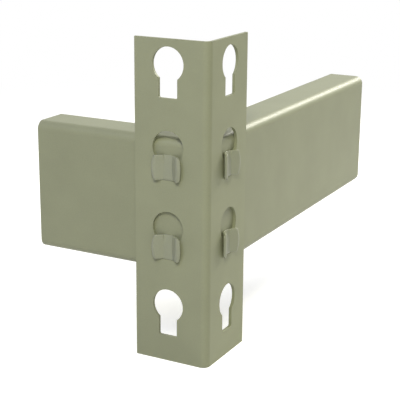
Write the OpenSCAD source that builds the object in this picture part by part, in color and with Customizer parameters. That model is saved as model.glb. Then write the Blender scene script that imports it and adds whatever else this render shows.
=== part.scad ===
// Corner joint of a boltless rack: a keyholed angle post with a shelf beam hooked into each leg.
//
// Every piece is drawn in the frame of one leg and then laid on the left or the right leg.
// In that frame x is the distance from the post's corner along the leg, y is the depth
// behind the leg's outer face, and z is the height above the foot of the post.

/* [Post] */
// Width of each leg, from the outer corner to the edge
leg_width = 38.1; // [34:0.1:60]
// Thickness of the post's sheet
post_sheet = 1.5; // [1.2:0.1:2]
// Outside radius of the fold between the legs
post_bend = 3.6; // [3:0.1:5]
// Metal left above the top keyhole
head_margin = 3.5; // [3:0.5:30]
// Metal left below the bottom keyhole
foot_margin = 12.7; // [4:0.1:40]

/* [Keyholes] */
// Height from one keyhole to the next
pitch = 38.1; // [32:0.1:60]
// Number of keyholes up each leg
keyhole_count = 4; // [3:1:8]
// Distance from the post's corner to the keyholes' centre line
keyhole_offset = 20.8; // [17:0.1:25]
// Diameter of the round head, where a hook goes in
keyhole_head = 16; // [15:0.1:18]
// Width of the slot below the head, where a hook is held
keyhole_slot = 9.6; // [9:0.1:10.6]
// Drop from the centre of the head to the bottom of the slot
keyhole_drop = 15.25; // [13.5:0.05:18]
// Radius of the slot's bottom corners
slot_corner = 0.8; // [0.4:0.1:1.2]

/* [Beams] */
// Length of the left beam, from the post's corner to its sawn end
left_length = 94; // [70:1:1500]
// Length of the right beam, from the post's corner to its sawn end
right_length = 199; // [70:1:1500]
// Depth of a beam from the face of its web to the edge of its flanges
beam_depth = 20.5; // [12:0.5:40]
// Thickness of the beams' sheet
beam_sheet = 1.5; // [1.2:0.1:2]
// Outside radius of the folds between web and flanges
beam_bend = 4.2; // [2.4:0.1:5]
// Rise of a beam's top above the head centre of the keyhole its upper hook sits in
beam_rise = 4.4; // [1:0.1:10]
// Web left below the lower hook
beam_toe = 6; // [5:0.25:40]
// Gap between a beam's mitred end and the curve inside the post's corner
corner_gap = 0.4; // [0.2:0.1:3]

/* [Hooks] */
// Thickness of a hook's sheet
hook_sheet = 1.4; // [1.2:0.1:1.6]
// Height of a hook
hook_height = 11.8; // [9:0.1:12.5]
// Width of a hook across its two wings
hook_width = 15.5; // [15.2:0.1:16]
// Slope at which the wings rise from the hook's floor through the slot
flare_angle = 46; // [44:1:50]
// Slope at which the wings roll back from their crest to their tips
droop_angle = 42; // [36:1:44]
// Inside radius of the fold between floor and wing
root_radius = 0.8; // [0.5:0.1:0.9]
// Inside radius of the fold along the crest of a wing
crest_radius = 0.9; // [0.7:0.1:1]
// Radius of the arc that rounds off the tips of the wings, so that a tilted hook goes in
tip_arc = 8.8; // [8.4:0.1:9.6]
// Play between the wings and the slot's two edges, where the wings pass over them
slot_play = 0.6; // [0.5:0.05:0.7]
// Gap between the tip of a wing and the post's face
tip_play = 0.15; // [0.1:0.05:0.3]

/* [Hidden] */
$fn = 72;
paint = "#91967C";
hook_paint = "#969B82";
past = 1;               // how far a cutter runs past what it cuts
head_radius = keyhole_head / 2;
slot_half = keyhole_slot / 2;

// The post stands on z = 0, and its keyholes are counted from the top.
function keyhole_z(k) = foot_margin + keyhole_drop + (keyhole_count - k) * pitch;
post_height = keyhole_z(1) + head_radius + head_margin;
upper_keyhole = 2;
lower_keyhole = 3;

// A beam's web reaches from its rise to its toe, so it always backs both hooks.
beam_height = beam_rise + pitch + keyhole_drop + beam_toe;
beam_top = keyhole_z(upper_keyhole) + beam_rise;
mitre_start = post_bend - post_sheet + corner_gap;

// Section of a hook: x from its middle, y outwards from the web that carries it. The centre
// of the crest fold lies where the wing clears the slot's edge and its tip clears the face.
root_outer = root_radius + hook_sheet;
crest_outer = crest_radius + hook_sheet;
root_reach = root_outer * sin(flare_angle);
root_rise = root_outer * (1 - cos(flare_angle));
tip_reach = hook_width / 2 - hook_sheet * sin(droop_angle);
edge_line = slot_half * sin(flare_angle) - slot_play + crest_radius;
tip_line = tip_reach * sin(droop_angle) + tip_play * cos(droop_angle) - crest_radius;
crest_turn = flare_angle + droop_angle;
crest_x = (edge_line * cos(droop_angle) + tip_line * cos(flare_angle)) / sin(crest_turn);
crest_y = post_sheet + (tip_line - crest_x * sin(droop_angle)) / cos(droop_angle);
wall_length = (crest_y + crest_radius * cos(flare_angle) - root_rise) / sin(flare_angle);
floor_half = crest_x - crest_radius * sin(flare_angle) - wall_length * cos(flare_angle)
    - root_reach;
tip_length = (tip_reach - crest_x - crest_radius * sin(droop_angle)) / cos(droop_angle);

// Lays a piece drawn in the leg's frame on the left leg (along -X) or the right leg (along +Y).
module on_leg(side) {
    if (side == "left") mirror([1, 0, 0]) children();
    else rotate([0, 0, 90]) children();
}

// A curved strip of sheet: the part of a ring between two rays, less than half a turn apart.
module bend(inner, sheet, from, sweep) {
    reach = 2 * (inner + sheet);
    intersection() {
        difference() {
            circle(inner + sheet);
            circle(inner);
        }
        rotate(from) translate([-reach, 0]) square([2 * reach, reach]);
        rotate(from + sweep) translate([-reach, -reach]) square([2 * reach, reach]);
    }
}

// Section of the angle post, with its corner at the origin and its legs along -X and +Y.
module post_section() {
    flat = leg_width - post_bend;
    translate([-leg_width, 0]) square([flat, post_sheet]);
    translate([-post_sheet, post_bend]) square([post_sheet, flat]);
    translate([-post_bend, post_bend]) bend(post_bend - post_sheet, post_sheet, -90, 90);
}

// Outline of a keyhole about the centre of its round head.
module keyhole_outline() {
    circle(head_radius);
    translate([-slot_half, slot_corner - keyhole_drop])
        square([keyhole_slot, keyhole_drop - slot_corner]);
    translate([slot_corner - slot_half, -keyhole_drop])
        square([keyhole_slot - 2 * slot_corner, keyhole_drop]);
    for (x = [slot_corner - slot_half, slot_half - slot_corner])
        translate([x, slot_corner - keyhole_drop]) circle(slot_corner);
}

module post() {
    color(paint) difference() {
        linear_extrude(post_height) post_section();
        for (side = ["left", "right"], k = [1:keyhole_count])
            on_leg(side)
                translate([keyhole_offset, post_sheet + past, keyhole_z(k)])
                    rotate([90, 0, 0]) linear_extrude(post_sheet + 2 * past) keyhole_outline();
    }
}

// Section of a beam: x from the face of its web, y up from its bottom.
module beam_section() {
    web = beam_height - 2 * beam_bend;
    flange = beam_depth - beam_bend;
    inner = beam_bend - beam_sheet;
    translate([0, beam_bend]) square([beam_sheet, web]);
    translate([beam_bend, 0]) square([flange, beam_sheet]);
    translate([beam_bend, beam_height - beam_sheet]) square([flange, beam_sheet]);
    translate([beam_bend, beam_bend]) bend(inner, beam_sheet, 180, 90);
    translate([beam_bend, beam_height - beam_bend]) bend(inner, beam_sheet, 90, 90);
}

// A beam lies flat behind its leg and is mitred, so that the two beams clear each other.
module beam(side, length) {
    reach = 2 * (post_sheet + beam_depth) + mitre_start;
    color(paint) on_leg(side) difference() {
        translate([0, post_sheet, beam_top - beam_height])
            rotate([90, 0, 90]) linear_extrude(length) beam_section();
        translate([mitre_start, 0, beam_top - beam_height - past])
            rotate([0, 0, 45]) translate([-reach, 0, 0])
                cube([2 * reach, reach, beam_height + 2 * past]);
    }
}

// One half of a hook's section: floor, root fold, rising wall, crest fold and rolled-back tip.
module hook_half() {
    square([floor_half, hook_sheet]);
    translate([floor_half, root_outer]) {
        bend(root_radius, hook_sheet, -90, flare_angle);
        rotate(flare_angle) translate([0, -root_outer]) {
            square([wall_length, hook_sheet]);
            translate([wall_length, -crest_radius]) {
                bend(crest_radius, hook_sheet, 90 - crest_turn, crest_turn);
                rotate(-crest_turn) translate([0, crest_radius])
                    square([tip_length, hook_sheet]);
            }
        }
    }
}

// A pressed butterfly hook: its floor is welded to the web, its wings rise through the slot
// and roll over the slot's edges, and its lower edge sits on the bottom of the slot.
module hook(side, k) {
    middle = hook_height / 2;
    color(hook_paint) on_leg(side)
        translate([keyhole_offset, post_sheet, keyhole_z(k) - keyhole_drop])
            mirror([0, 1, 0]) intersection() {
                linear_extrude(hook_height) {
                    hook_half();
                    mirror([1, 0]) hook_half();
                }
                translate([0, -past, middle]) rotate([-90, 0, 0])
                    cylinder(r = tip_arc, h = crest_y + crest_outer + 2 * past);
            }
}

module left_beam() { beam("left", left_length); }
module right_beam() { beam("right", right_length); }
module left_hook_upper() { hook("left", upper_keyhole); }
module left_hook_lower() { hook("left", lower_keyhole); }
module right_hook_upper() { hook("right", upper_keyhole); }
module right_hook_lower() { hook("right", lower_keyhole); }

post();
left_beam();
right_beam();
left_hook_upper();
left_hook_lower();
right_hook_upper();
right_hook_lower();
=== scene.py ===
# %% [markdown]
# # The corner of a boltless rack
#
# The object is the corner where two shelf beams hook into one angle post. The post is a strip
# of sheet steel with keyholes punched up both legs. Each beam is a channel whose end lies flat
# behind a leg, and the pressed hooks on its web stand out through the keyholes. All of it
# wears one coat of grey-green powder paint.
#
# The imported model is the fixed frame for all of this. We load it first and keep its box, whose
# middle the lamps face. Blender works in metres, but sheet metal is thought of in millimetres, so
# the object's sizes are in millimetres times MM.

import math

import bmesh
import bpy
import numpy as np
from mathutils import Matrix, Vector


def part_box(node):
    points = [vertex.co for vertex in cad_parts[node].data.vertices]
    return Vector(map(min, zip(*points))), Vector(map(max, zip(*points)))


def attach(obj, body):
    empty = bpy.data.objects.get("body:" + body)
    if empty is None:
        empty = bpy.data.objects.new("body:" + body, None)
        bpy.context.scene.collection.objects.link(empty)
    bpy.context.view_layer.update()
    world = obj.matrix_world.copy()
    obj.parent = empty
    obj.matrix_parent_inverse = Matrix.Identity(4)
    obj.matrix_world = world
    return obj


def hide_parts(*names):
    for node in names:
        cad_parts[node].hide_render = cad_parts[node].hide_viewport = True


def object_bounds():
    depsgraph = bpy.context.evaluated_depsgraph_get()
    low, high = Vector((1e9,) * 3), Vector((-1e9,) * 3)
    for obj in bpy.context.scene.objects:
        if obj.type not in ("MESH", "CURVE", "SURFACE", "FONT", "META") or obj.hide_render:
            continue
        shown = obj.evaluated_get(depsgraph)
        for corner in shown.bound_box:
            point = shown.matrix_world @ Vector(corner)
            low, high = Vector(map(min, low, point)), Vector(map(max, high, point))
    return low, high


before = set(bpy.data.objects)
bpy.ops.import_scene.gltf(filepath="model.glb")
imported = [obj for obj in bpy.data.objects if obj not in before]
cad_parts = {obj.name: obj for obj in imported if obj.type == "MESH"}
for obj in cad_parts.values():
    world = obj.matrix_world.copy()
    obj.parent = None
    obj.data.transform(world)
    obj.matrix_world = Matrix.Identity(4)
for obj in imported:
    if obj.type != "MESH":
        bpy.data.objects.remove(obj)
cad_box = [list(corner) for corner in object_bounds()]
MM = 0.001
bpy.context.scene.view_settings.view_transform = "Standard"
print("CAD box in mm", [[round(v / MM, 1) for v in corner] for corner in cad_box])

# %% [markdown]
# ## The camera
#
# A camera is easiest to reason about as a direction on a sphere: how far round the object it
# stands, how high, and how much it leans. We build its three axes from those angles. The long
# lens keeps the post's edges nearly parallel.

# %% Camera
AZIMUTH, ELEVATION, ROLL = 28.075, 16.18, 0.431      # degrees
DISTANCE, ASIDE, UPWARD = 529.64, -2.982, 79.504     # mm, along the camera's own axes
LENS, SENSOR = 101.5, 36.0                           # mm


def direction(azimuth, elevation):
    """The unit vector towards a place on the sphere: azimuth turns from -Y towards +X."""
    around, above = math.radians(azimuth), math.radians(elevation)
    return Vector((math.sin(around) * math.cos(above),
                   -math.cos(around) * math.cos(above), math.sin(above)))


def place_camera():
    """Right and up are the level axes turned about the line of sight by the roll."""
    data = bpy.data.cameras.new("camera")
    data.lens = LENS
    data.sensor_width = SENSOR
    data.clip_start = 10 * MM
    camera = bpy.data.objects.new("camera", data)
    bpy.context.collection.objects.link(camera)
    back = direction(AZIMUTH, ELEVATION)
    level = direction(AZIMUTH + 90, 0)
    lift = back.cross(level)
    lean = math.radians(ROLL)
    right = level * math.cos(lean) + lift * math.sin(lean)
    up = lift * math.cos(lean) - level * math.sin(lean)
    spot = (back * DISTANCE + right * ASIDE + up * UPWARD) * MM
    turn = Matrix((right, up, back)).transposed().to_4x4()
    camera.matrix_world = Matrix.Translation(spot) @ turn
    bpy.context.scene.camera = camera
    return camera


camera = place_camera()
print("camera at", [round(v / MM) for v in camera.matrix_world.translation], "mm")

# %% [markdown]
# ## From numbers to a mesh
#
# Every new piece here is one closed tube of sheet metal: a loop of points that is carried along
# a line. The loops fill a grid, with one row for each stop on the line and one column for each
# point round the loop. One helper turns such a grid into a mesh, so each piece only has to say
# where its points are.


# %% Carry a loop along a line
MERGE = 0.002        # mm, points closer than this are one point


def tube(name, grid):
    """A closed mesh from a grid of points in mm, of shape (rows, columns, 3).

    Neighbours in the grid share a quad, the last column meets the first, and the first and the
    last row are each closed by one face. Points that coincide are merged, and the faces are
    then turned outwards together."""
    rows, columns = grid.shape[:2]
    index = np.arange(rows * columns).reshape(rows, columns)
    ahead = np.roll(index, -1, axis=1)
    quads = np.stack([index[:-1], ahead[:-1], ahead[1:], index[1:]], axis=-1).reshape(-1, 4)
    faces = quads.tolist() + [index[0].tolist(), index[-1].tolist()]
    mesh = bpy.data.meshes.new(name)
    mesh.from_pydata((grid.reshape(-1, 3) * MM).tolist(), [], faces)
    shell = bmesh.new()
    shell.from_mesh(mesh)
    bmesh.ops.remove_doubles(shell, verts=shell.verts, dist=MERGE * MM)
    bmesh.ops.dissolve_degenerate(shell, edges=shell.edges, dist=MERGE / 2 * MM)
    bmesh.ops.recalc_face_normals(shell, faces=shell.faces)
    shell.to_mesh(mesh)
    shell.free()
    mesh.shade_smooth()
    piece = bpy.data.objects.new(name, mesh)
    bpy.context.collection.objects.link(piece)
    return piece


# %% [markdown]
# ## A line that folds
#
# Sheet metal is folded, not bent into arbitrary curves: it runs straight, turns with a steady
# radius, and runs straight again. So we describe a section by its heading. The heading changes
# evenly through a fold and stays put between folds, and adding up small steps along it gives
# the line. The same few numbers make the beam's channel and the hook's wings.


# %% Folded line
def folded_line(runs, step):
    """The middle line of a folded sheet, as points, headings and distances along it.

    Each run is (length, turn in degrees). The heading grows evenly over a run by its turn, and
    the place is the running sum of (cos heading, sin heading) times the step."""
    ends = np.concatenate([[0.0], np.cumsum([length for length, _ in runs])])
    angles = np.radians(np.concatenate([[0.0], np.cumsum([turn for _, turn in runs])]))
    gaps = [np.linspace(a, b, max(2, math.ceil((b - a) / step) + 1))
            for a, b in zip(ends, ends[1:])]
    along = np.unique(np.round(np.concatenate(gaps), 6))
    heading = np.interp(along, ends, angles)
    middle = (heading[1:] + heading[:-1]) / 2
    moves = np.diff(along)[:, None] * np.stack([np.cos(middle), np.sin(middle)], axis=1)
    return np.concatenate([[[0.0, 0.0]], np.cumsum(moves, axis=0)]), heading, along


def arc(radius, turn):
    """The run of a fold: its length is the radius times the angle."""
    return radius * abs(math.radians(turn)), turn


print("a quarter fold of 4 mm radius is", round(arc(4.0, 90)[0], 2), "mm long")

# %% [markdown]
# ## Laying a piece on a leg
#
# Both legs carry the same parts, mirrored about the post's corner. Each piece is therefore
# worked out once, in the frame of a leg: the distance from the corner along the leg, the depth
# behind the leg's face, and the height. Laying it on the left or the right leg only renames
# those three directions.


# %% Legs
def on_leg(side, distance, depth, height):
    """Points in mm. The left leg runs along -X and faces -Y, so a point is (-distance, depth,
    height). The right leg runs along +Y and faces +X, so it is (-depth, distance, height)."""
    distance, depth, height = np.broadcast_arrays(distance, depth, height)
    if side == "left":
        return np.stack([-distance, depth, height], axis=-1)
    return np.stack([-depth, distance, height], axis=-1)


def leg_box(side, node):
    """The lowest and highest (distance, depth, height) of a CAD node in mm."""
    low, high = (np.array(corner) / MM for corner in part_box(node))
    if side == "left":
        return np.array([-high[0], low[1], low[2]]), np.array([-low[0], high[1], high[2]])
    return np.array([low[1], -high[0], low[2]]), np.array([high[1], -low[0], high[2]])


for side in ("left", "right"):
    print(side, "beam reaches", *leg_box(side, side + "_beam"), "mm")


# %% [markdown]
# ## Colour and nodes
#
# Colours are written as hex values, as a paint maker's chart gives them, while shaders work with
# linear light. One function converts them. A second one adds any node with its settings and its
# links in one line, which keeps a material readable.


# %% Material helpers
def linear(hex_colour):
    """A hex sRGB colour as the linear RGBA that shaders use.

    Each part from 0 to 1 goes through the sRGB curve: a straight line near black, and above it
    the part plus 0.055, over 1.055, to the power of 2.4."""
    parts = np.array([int(hex_colour[i:i + 2], 16) for i in (1, 3, 5)]) / 255.0
    value = np.where(parts <= 0.04045, parts / 12.92, ((parts + 0.055) / 1.055) ** 2.4)
    return (*value.tolist(), 1.0)


def add_node(tree, kind, links=None, **settings):
    """A node with its inputs or properties set, and its inputs linked from other sockets."""
    node = tree.nodes.new(kind)
    for name, value in settings.items():
        socket = node.inputs.get(name.replace("_", " "))
        if socket is None:
            setattr(node, name, value)
        else:
            socket.default_value = value
    for name, source in (links or {}).items():
        tree.links.new(source, node.inputs[name])
    return node


print("#808080 in linear light is", round(linear("#808080")[0], 3))

# %% [markdown]
# ## Powder coat
#
# Polyester powder is sprayed on as charged dust and baked until it melts into a skin about
# 0.08 mm thick. The skin never levels out fully: it keeps a soft waviness called orange peel,
# one to two millimetres from crest to crest, and a finer grain left by the powder itself. To
# the eye this is a plain colour with a broad, slightly broken highlight. We get it with two
# bumps, a roughness that wanders a little, and a colour that drifts by a few percent where the
# skin is thicker or thinner.
#
# The resin's index is about 1.5. The white backdrop is seen in the gloss of every flat face, and
# at the usual specular level of 0.5 it would bleach the paint, so the flat steel has about half
# of that. The pressed hooks, rubbed smoother as they pass through the slots, keep all of it.

# %% Powder coat
PEEL_WAVE = 1.7      # mm from crest to crest of the orange peel
PEEL_DEPTH = 0.014   # mm from valley to crest, about what such a skin shows
GRAIN = 0.7          # mm, coarser than real powder grain so that it still shows
GRAIN_DEPTH = 0.010  # mm
CLOUD = 22.0         # mm, how far apart the skin is thicker or thinner
RESIN_IOR = 1.5      # polyester resin
LOW, HIGH = 0.3, 0.7  # nearly all of a noise lies between these
SPECK = 0.025        # share by which the grain lightens or darkens the colour
WANDER = 0.05        # how far the roughness wanders to each side


def powder_coat(name, colour, thin_colour, roughness, shine):
    """Grey-green polyester powder over steel: semi-gloss, wavy, very slightly mottled."""
    material = bpy.data.materials.new(name)
    material.use_nodes = True
    tree = material.node_tree
    tree.nodes.clear()
    place = add_node(tree, "ShaderNodeTexCoord").outputs["Object"]
    cloud = add_node(tree, "ShaderNodeTexNoise", {"Vector": place},
                     Scale=1 / (CLOUD * MM), Detail=3.0, Roughness=0.55)
    peel = add_node(tree, "ShaderNodeTexNoise", {"Vector": place},
                    Scale=1 / (PEEL_WAVE * MM), Detail=1.0, Roughness=0.4)
    grain = add_node(tree, "ShaderNodeTexNoise", {"Vector": place},
                     Scale=1 / (GRAIN * MM), Detail=2.0, Roughness=0.6)
    drift = add_node(tree, "ShaderNodeMapRange", {"Value": cloud.outputs["Fac"]},
                     From_Min=LOW, From_Max=HIGH)
    tint = add_node(tree, "ShaderNodeMix", {"Factor": drift.outputs["Result"]}, data_type="RGBA")
    # a Mix node repeats its sockets for each data type: 6 and 7 are the two colours, and
    # output 2 is their mix
    tint.inputs[6].default_value = linear(thin_colour)
    tint.inputs[7].default_value = linear(colour)
    speck = add_node(tree, "ShaderNodeMapRange", {"Value": grain.outputs["Fac"]},
                     From_Min=LOW, From_Max=HIGH, To_Min=1 - SPECK, To_Max=1 + SPECK)
    shade = add_node(tree, "ShaderNodeHueSaturation",
                     {"Color": tint.outputs[2], "Value": speck.outputs["Result"]})
    gloss = add_node(tree, "ShaderNodeMapRange", {"Value": grain.outputs["Fac"]},
                     From_Min=LOW, From_Max=HIGH, To_Min=roughness - WANDER,
                     To_Max=roughness + WANDER)
    waves = add_node(tree, "ShaderNodeBump", {"Height": peel.outputs["Fac"]},
                     Strength=1.0, Distance=PEEL_DEPTH * MM)
    skin = add_node(tree, "ShaderNodeBump",
                    {"Height": grain.outputs["Fac"], "Normal": waves.outputs["Normal"]},
                    Strength=1.0, Distance=GRAIN_DEPTH * MM)
    coat = add_node(tree, "ShaderNodeBsdfPrincipled",
                    {"Base Color": shade.outputs["Color"], "Roughness": gloss.outputs["Result"],
                     "Normal": skin.outputs["Normal"]},
                    IOR=RESIN_IOR, Specular_IOR_Level=shine)
    add_node(tree, "ShaderNodeOutputMaterial", {"Surface": coat.outputs["BSDF"]})
    return material


# One paint covers every part. The beam's and the hooks' colours are set a little darker than the
# post's, and the hooks' a little greyer. That difference is painted shade, not a different paint.
post_coat = powder_coat("powder_coat_post", "#989B81", "#93967D", 0.50, 0.25)
beam_coat = powder_coat("powder_coat_beam", "#94977D", "#8F9279", 0.46, 0.30)
hook_coat = powder_coat("powder_coat_hook", "#939681", "#8E917B", 0.33, 0.5)
print("powder coat:", len(post_coat.node_tree.nodes), "nodes, waves", PEEL_WAVE, "mm apart")


# %% [markdown]
# ## Finishing a piece
#
# Each finished piece gets its coat and rides on the one body of this object, and the CAD node
# that it stands for is hidden. The node stays in the physics model.


# %% Finish a piece
def finish(piece, node, coat):
    """A piece with its coat and its body; the CAD node that it stands for is hidden."""
    piece.data.materials.clear()
    piece.data.materials.append(coat)
    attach(piece, "root")
    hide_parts(node)
    return piece


print("CAD nodes to stand for:", sorted(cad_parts))

# %% [markdown]
# ## The beams
#
# A shelf beam is a strip of 1.5 mm sheet folded into a channel. Its web carries the hooks and
# its flanges carry the shelf. The end at the post is cut on the mitre, so that two beams can
# meet in one corner. We draw the channel's middle line, thicken it into a loop with rounded
# edges, and carry the loop along the beam. Close to each end the loop draws in a little, which
# is the soft edge that the coat leaves on a cut.

# %% Channel outline
BEAM_SHEET = 1.5     # mm
BEAM_FOLD = 4.2      # mm, outside radius of the folds
FOLD_STEP = 0.45     # mm from stop to stop round a fold
GUARD = 0.3          # mm, short run beside a fold, so that its shading ends where the fold does
CUT_EDGE = 0.3       # mm, how far the coat rounds a cut edge
LIP_STOPS = 7        # points on the half circle round a flange's free edge


def channel_outline(depth, height):
    """The loop round a channel's section and its outward directions, as (depth, height).

    Half the sheet's thickness to either side of the middle line gives the two faces, and half a
    circle joins them round each free edge."""
    half = BEAM_SHEET / 2
    fold = BEAM_FOLD - half
    flange, web = depth - BEAM_FOLD - half, height - 2 * BEAM_FOLD
    runs = [(flange - GUARD, 0), (GUARD, 0), arc(fold, 90), (GUARD, 0), (web - 2 * GUARD, 0),
            (GUARD, 0), arc(fold, 90), (GUARD, 0), (flange - GUARD, 0)]
    line, heading, _ = folded_line(runs, FOLD_STEP)
    line = np.array([depth - half, height - half]) - line
    inner = np.stack([np.sin(heading), -np.cos(heading)], axis=1)
    turn = np.linspace(0, np.pi, LIP_STOPS)[1:-1, None]
    free = np.array([1.0, 0.0])
    tip_low = inner[-1] * np.cos(turn) + free * np.sin(turn)
    tip_high = -inner[0] * np.cos(turn) + free * np.sin(turn)
    outward = np.concatenate([inner, tip_low, -inner[::-1], tip_high])
    centres = np.concatenate([line, np.repeat(line[-1:], len(turn), 0), line[::-1],
                              np.repeat(line[:1], len(turn), 0)])
    return centres + outward * half, outward


# %% Beams
CUT_STOPS = 4        # stops on the quarter circle at each cut end
BODY_STOPS = 8       # stops along the beam between its cut ends


def beam(side):
    """A channel's outline carried along the leg, from the mitred end to the square end.

    The mitre makes each point start as far from the corner as it lies deep. Within CUT_EDGE of an
    end the outline is drawn in along a quarter circle."""
    node = side + "_beam"
    low, high = leg_box(side, node)
    outline, outward = channel_outline(high[1] - low[1], high[2] - low[2])
    swing = np.linspace(0, np.pi / 2, CUT_STOPS)
    near, drawn_in = CUT_EDGE * (1 - np.cos(swing)), CUT_EDGE * (1 - np.sin(swing))
    inset = np.concatenate([drawn_in, np.zeros(BODY_STOPS), drawn_in[::-1]])[:, None, None]
    section = outline - outward * inset
    start = low[0] + section[:, :, 0]
    length = high[0] - start
    share = np.linspace(0, 1, BODY_STOPS)[:, None]
    first = start[:CUT_STOPS] + near[:, None]
    body_start = start[CUT_STOPS:-CUT_STOPS] + CUT_EDGE + GUARD
    body_end = high[0] - CUT_EDGE - GUARD
    body = body_start + (body_end - body_start) * share
    last = np.broadcast_to(high[0] - near[::-1, None], start[:CUT_STOPS].shape)
    distance = np.concatenate([first, body, last])
    print(node, "is", round(float(length.max()), 1), "mm long with", section.shape[1],
          "points round it")
    return tube(side + "_channel", on_leg(side, distance, low[1] + section[:, :, 0],
                                          low[2] + section[:, :, 1]))


for side in ("left", "right"):
    finish(beam(side), side + "_beam", beam_coat)

# %% [markdown]
# ## The hooks
#
# The hook is what makes this rack boltless, and it is the part that takes the most skill to
# form. A small plate is pressed so that its middle stays flat on the beam's web, two walls rise
# through the slot, and two wings open over the face of the post. Seen from the end it is a
# folded line like the channel, so the same function draws half of it. This time the loop that
# is carried along the line is the edge-on outline of the plate: as tall as the hook at that
# place, as thick as the sheet, and rounded over at the top and the bottom by pressing and paint.
#
# A pressed plate is never as straight as its section. Its folds bow towards the top and bottom,
# its wings fall back a little there, and the press thins the floor's upper edge until it nearly
# runs out on the web. Each of these is one term, which grows with the square of the distance
# from mid-height.

# %% Hook sizes
HOOK_SHEET = 1.4     # mm
FLARE = 35           # degrees, how steeply the walls rise through the slot
DROOP = 42           # degrees, how far the wings roll back towards the post
ROOT_FOLD = 1.5      # mm, radius of the fold between floor and wall
CREST_FOLD = 1.1     # mm, radius of the fold between wall and wing
WING = 0.2           # mm, straight part of a wing
CROWN = 0.55         # mm, how far the wings fall back towards their top and bottom
ROOT_BOW = 0.5       # mm, how far the root folds spread towards the top and bottom
CREST_BOW = 0.6      # mm, how far the crests draw in there
TIP_ARC = 8.8        # mm, radius that rounds the hook's outline
TIP_EDGE = 0.25      # mm, radius of the tips' cut edges
LONG_EDGE = 0.4      # mm, how far the wings' top and bottom edges are rounded
FLOOR_EDGE = 0.12    # mm, the same at the middle of the floor
FEATHER = 1.15       # mm, how much thinner the floor's top edge is pressed than its middle
HOOK_STEP = 0.2      # mm from stop to stop along the folded line
TIP_STOPS = 6        # stops on the quarter circle at a wing's tip
TIP_RING = 0.1       # mm, how much smaller one last ring is, which keeps the cut end flat
SNAP = 0.01          # mm, a stop this close to the tip's first one gives way to it
ROUND_POINTS = 9     # points round the top edge, and as many round the bottom edge
FACE_POINTS = 10     # points down each face between them
print("hook sheet", HOOK_SHEET, "mm, wings", FLARE, "degrees up and", DROOP, "degrees down")


# %% Hooks
def half_hook(half_width, rise):
    """The middle line from a hook's centre to the tip of one wing, with its headings.

    The wall is as long as the rise still asks for after the two folds, and the floor fills up
    what is left of the width. The places of the floor's edge and of the crest come with it."""
    flare, droop = math.radians(FLARE), math.radians(DROOP)
    fold_rise = (ROOT_FOLD + CREST_FOLD) * (1 - math.cos(flare))
    wall = (rise - fold_rise) / math.sin(flare)
    overhang = CREST_FOLD * math.sin(droop) + WING * math.cos(droop)
    floor = (half_width - overhang - (ROOT_FOLD + CREST_FOLD) * math.sin(flare)
             - wall * math.cos(flare))
    runs = [(floor, 0), arc(ROOT_FOLD, FLARE), (wall, 0), arc(CREST_FOLD, -FLARE - DROOP),
            (WING, 0)]
    return folded_line(runs, HOOK_STEP), floor, half_width - overhang


def hook(side, level):
    """A plate's edge-on outline carried along the folded line from wing tip to wing tip.

    Round the loop, 'anchor' runs from 1 at the top to -1 at the bottom, and 'across' from 1 on
    the front face of the sheet to -1 on its back. Near a tip the thickness and the height both
    follow a small quarter circle. The bows move a point along the leg by the square of its
    anchor. The crown brings it towards the web by the same square times its share of the rise,
    and above mid-height the feather does so to the front face of the floor. 'middle' is 1 less
    the square of the distance from the hook's centre, and reaches 0 at the root folds."""
    node = f"{side}_hook_{level}"
    low, high = leg_box(side, node)
    centre, half_width = (low[0] + high[0]) / 2, (high[0] - low[0]) / 2
    half_height, half = (high[2] - low[2]) / 2, HOOK_SHEET / 2
    rise = high[1] - low[1] - HOOK_SHEET
    (line, heading, along), floor, crest = half_hook(
        half_width - half * math.sin(math.radians(DROOP)), rise)

    swing = np.linspace(0, np.pi / 2, TIP_STOPS)
    ends = along[-1] - TIP_EDGE + TIP_EDGE * np.sin(swing)
    stops = np.concatenate([along[along < ends[0] - SNAP], ends, ends[-1:]])
    drawn_in = np.concatenate([np.zeros(len(stops) - TIP_STOPS - 1),
                               TIP_EDGE * (1 - np.cos(swing)), [TIP_EDGE + TIP_RING]])
    line = np.stack([np.interp(stops, along, line[:, k]) for k in (0, 1)], axis=1)
    heading = np.interp(stops, along, heading)

    # the other wing is the same line mirrored about the hook's centre
    line = np.concatenate([line[:0:-1] * [-1, 1], line])
    heading = np.concatenate([-heading[:0:-1], heading])
    thick = half - np.concatenate([drawn_in[:0:-1], drawn_in])[:, None]

    # the loop round the plate's edge-on outline: top edge, back face, bottom edge, front face
    bow = np.linspace(0, np.pi, ROUND_POINTS)
    face, level_run = np.ones(FACE_POINTS), np.linspace(1, -1, FACE_POINTS + 2)[1:-1]
    edge = np.ones(ROUND_POINTS)
    across = np.concatenate([np.cos(bow), -face, -np.cos(bow), face])
    anchor = np.concatenate([edge, level_run, -edge, -level_run])
    bulge = np.concatenate([np.sin(bow), 0 * face, -np.sin(bow), 0 * face])

    # heights, with the wings' tips cut to an arc about the middle of the hook
    tall = np.minimum(half_height, np.sqrt(TIP_ARC ** 2 - line[:, :1] ** 2)) - (half - thick)
    middle = np.clip(1 - (line[:, :1] / (floor + ROOT_FOLD / 2)) ** 2, 0, 1)
    soft = (LONG_EDGE + (FLOOR_EDGE - LONG_EDGE) * middle) * thick / half
    height = half_height + anchor * (tall - soft) + bulge * soft

    # distances along the leg and depths behind its face
    spread = np.interp(np.abs(line[:, :1]), [0, floor, crest], [0, ROOT_BOW, -CREST_BOW])
    out = line[:, 1:] + half - CROWN * anchor ** 2 * line[:, 1:] / rise
    distance = (centre + line[:, :1] + np.sign(line[:, :1]) * spread * anchor ** 2
                - np.sin(heading)[:, None] * across * thick)
    pressed = FEATHER * middle * np.clip(anchor, 0, 1) ** 2 * (1 + across) / 2
    depth = high[1] - out - np.cos(heading)[:, None] * across * thick + pressed
    return tube(f"{side}_butterfly_{level}", on_leg(side, distance, depth, low[2] + height))


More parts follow.
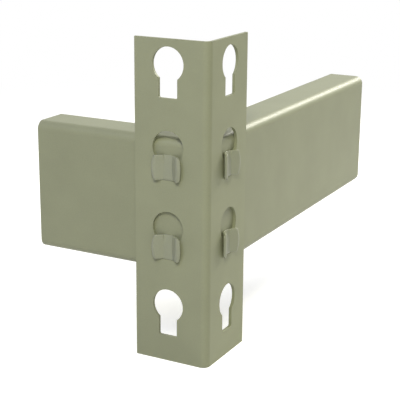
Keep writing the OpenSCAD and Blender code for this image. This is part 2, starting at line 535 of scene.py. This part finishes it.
for side in ("left", "right"):
    for level in ("upper", "lower"):
        piece = finish(hook(side, level), f"{side}_hook_{level}", hook_coat)
        print(piece.name, len(piece.data.polygons), "faces")

# %% [markdown]
# ## The post
#
# The post is a strip of 1.5 mm sheet, punched and then folded into an angle. Its CAD shape is
# right as it is. What a solid lacks is the soft edge that punching and paint leave round every
# keyhole, and a Bevel modifier on a copy gives it that. The copy's loose triangles are merged
# first, and flat neighbours are joined, so that only the true edges are rounded. Weighted
# normals then keep the big faces looking flat beside the narrow round ones.

# %% Post
POST_EDGE = 0.22     # mm, how far the coat rounds a punched edge
EDGE_ROUNDS = 3      # faces across a rounded edge
FLAT_ANGLE = 0.5     # degrees, faces closer to one plane than this are joined
SHARP_ANGLE = 50     # degrees, edges sharper than this are rounded


def soft_post():
    """A merged copy of the post's CAD mesh, whose sharp edges the modifiers round and shade."""
    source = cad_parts["post"].data
    mesh = source.copy()
    mesh.name = "keyholed_post"
    shell = bmesh.new()
    shell.from_mesh(mesh)
    bmesh.ops.remove_doubles(shell, verts=shell.verts, dist=MERGE * MM)
    bmesh.ops.dissolve_limit(shell, angle_limit=math.radians(FLAT_ANGLE),
                             verts=shell.verts, edges=shell.edges)
    shell.to_mesh(mesh)
    shell.free()
    mesh.shade_smooth()
    piece = bpy.data.objects.new("keyholed_post", mesh)
    bpy.context.collection.objects.link(piece)
    edge = piece.modifiers.new("coated edge", "BEVEL")
    edge.width = POST_EDGE * MM
    edge.segments = EDGE_ROUNDS
    edge.limit_method = "ANGLE"
    edge.angle_limit = math.radians(SHARP_ANGLE)
    edge.miter_outer = "MITER_ARC"
    flat = piece.modifiers.new("flat faces", "WEIGHTED_NORMAL")
    flat.weight = 100
    flat.keep_sharp = False
    return piece


post = finish(soft_post(), "post", post_coat)
print("post:", len(post.data.polygons), "faces before its edges are rounded")

# %% [markdown]
# ## Floor and backdrop
#
# A plain pale floor carries the shadow, and behind it all is plain white. That white is not more
# light on the steel: the Light Path node tells a shader which kind of ray has reached it, so
# the floor and the world can be white to the camera, in gloss and through glass, and stay
# modest lamps for everything else. Near the object the floor is paper with a little glow, and
# further out the glow takes over, so that no horizon shows from any side.


# %% Which rays see the backdrop
def background_rays(tree):
    """1 for a ray from the camera, from a glossy surface or through glass, and 0 for any other.

    The larger of the three answers, taken two at a time."""
    rays = add_node(tree, "ShaderNodeLightPath").outputs
    gloss = add_node(tree, "ShaderNodeMath", operation="MAXIMUM")
    tree.links.new(rays["Is Camera Ray"], gloss.inputs[0])
    tree.links.new(rays["Is Glossy Ray"], gloss.inputs[1])
    glass = add_node(tree, "ShaderNodeMath", operation="MAXIMUM")
    tree.links.new(gloss.outputs["Value"], glass.inputs[0])
    tree.links.new(rays["Is Transmission Ray"], glass.inputs[1])
    return glass.outputs["Value"]


# %% Floor
FLOOR_SIZE = 8.0                     # metres
FLOOR_NEAR, FLOOR_FAR = 0.35, 0.75   # metres from the middle, between which the paper turns white
PAPER = "#E4E4E1"
PAPER_GLOW = 0.62                    # what lit paper still lacks to be white


def pale_floor():
    """A diffuse floor that glows for those rays only, just enough to reach white.

    The share of plain white is a smooth step of the distance from the middle, from FLOOR_NEAR
    to FLOOR_FAR."""
    bpy.ops.mesh.primitive_plane_add(size=FLOOR_SIZE)
    floor = bpy.context.object
    floor.name = "floor"
    material = bpy.data.materials.new("pale_paper")
    material.use_nodes = True
    tree = material.node_tree
    tree.nodes.clear()
    paper = add_node(tree, "ShaderNodeBsdfDiffuse", Color=linear(PAPER))
    glow = add_node(tree, "ShaderNodeEmission", Strength=PAPER_GLOW)
    both = add_node(tree, "ShaderNodeAddShader")
    tree.links.new(paper.outputs["BSDF"], both.inputs[0])
    tree.links.new(glow.outputs["Emission"], both.inputs[1])
    place = add_node(tree, "ShaderNodeTexCoord").outputs["Object"]
    reach = add_node(tree, "ShaderNodeVectorMath", operation="LENGTH")
    tree.links.new(place, reach.inputs[0])
    fade = add_node(tree, "ShaderNodeMapRange", {"Value": reach.outputs["Value"]},
                    interpolation_type="SMOOTHSTEP", From_Min=FLOOR_NEAR, From_Max=FLOOR_FAR)
    white = add_node(tree, "ShaderNodeEmission", Strength=1.0)
    shown = add_node(tree, "ShaderNodeMixShader", {"Fac": fade.outputs["Result"]})
    tree.links.new(both.outputs["Shader"], shown.inputs[1])
    tree.links.new(white.outputs["Emission"], shown.inputs[2])
    seen = add_node(tree, "ShaderNodeMixShader", {"Fac": background_rays(tree)})
    tree.links.new(paper.outputs["BSDF"], seen.inputs[1])
    tree.links.new(shown.outputs["Shader"], seen.inputs[2])
    add_node(tree, "ShaderNodeOutputMaterial", {"Surface": seen.outputs["Shader"]})
    floor.data.materials.append(material)
    return floor


floor = pale_floor()
print("floor:", FLOOR_SIZE, "m wide, plain white from", FLOOR_FAR, "m outwards")


# %% Backdrop
def backdrop(strength, colour):
    """Ambient light of one strength for the object, and plain white where it is seen."""
    world = bpy.data.worlds.new("studio")
    bpy.context.scene.world = world
    world.use_nodes = True
    tree = world.node_tree
    tree.nodes.clear()
    ambient = add_node(tree, "ShaderNodeBackground", Color=linear(colour), Strength=strength)
    white = add_node(tree, "ShaderNodeBackground", Color=linear("#FFFFFF"), Strength=1.0)
    seen = add_node(tree, "ShaderNodeMixShader", {"Fac": background_rays(tree)})
    tree.links.new(ambient.outputs["Background"], seen.inputs[1])
    tree.links.new(white.outputs["Background"], seen.inputs[2])
    add_node(tree, "ShaderNodeOutputWorld", {"Surface": seen.outputs["Shader"]})


AMBIENT = 0.12
backdrop(AMBIENT, "#FFFFFF")
print("ambient light:", AMBIENT)

# %% [markdown]
# ## Lights
#
# Three soft boxes light the corner. The key stands in front and to the right, and is small
# enough to drop a thin shadow under each keyhole's rim. A larger and weaker one on the left
# fills those shadows with cooler light. The third stands behind the right beam, so that its
# highlight runs along the folded edge, while the post shades the steel behind its keyholes.
# Each is set by where it stands on the sphere round the object.

# %% Lights
LAMPS = (
    # name, azimuth and elevation in degrees, distance and width in mm, power in W, colour
    ("key", 25, 43, 1200, 300, 7.9, "#FFFDE6"),
    ("left fill", -15, 50, 1200, 600, 4.0, "#CACFFF"),
    ("behind", 164, 30, 1200, 420, 14.5, "#FFFDF0"),
)


def soft_box(name, azimuth, elevation, distance, width, power, colour):
    """A square area lamp that stands on the sphere round the object and faces its middle."""
    data = bpy.data.lights.new(name, "AREA")
    data.size = width * MM
    data.energy = power
    data.color = linear(colour)[:3]
    lamp = bpy.data.objects.new(name, data)
    bpy.context.collection.objects.link(lamp)
    away = direction(azimuth, elevation)
    middle = (Vector(cad_box[0]) + Vector(cad_box[1])) / 2
    facing = away.to_track_quat("Z", "Y").to_matrix().to_4x4()
    lamp.matrix_world = Matrix.Translation(middle + away * distance * MM) @ facing
    return lamp


for lamp in LAMPS:
    soft_box(*lamp)
print("lamps:", [lamp[0] for lamp in LAMPS])
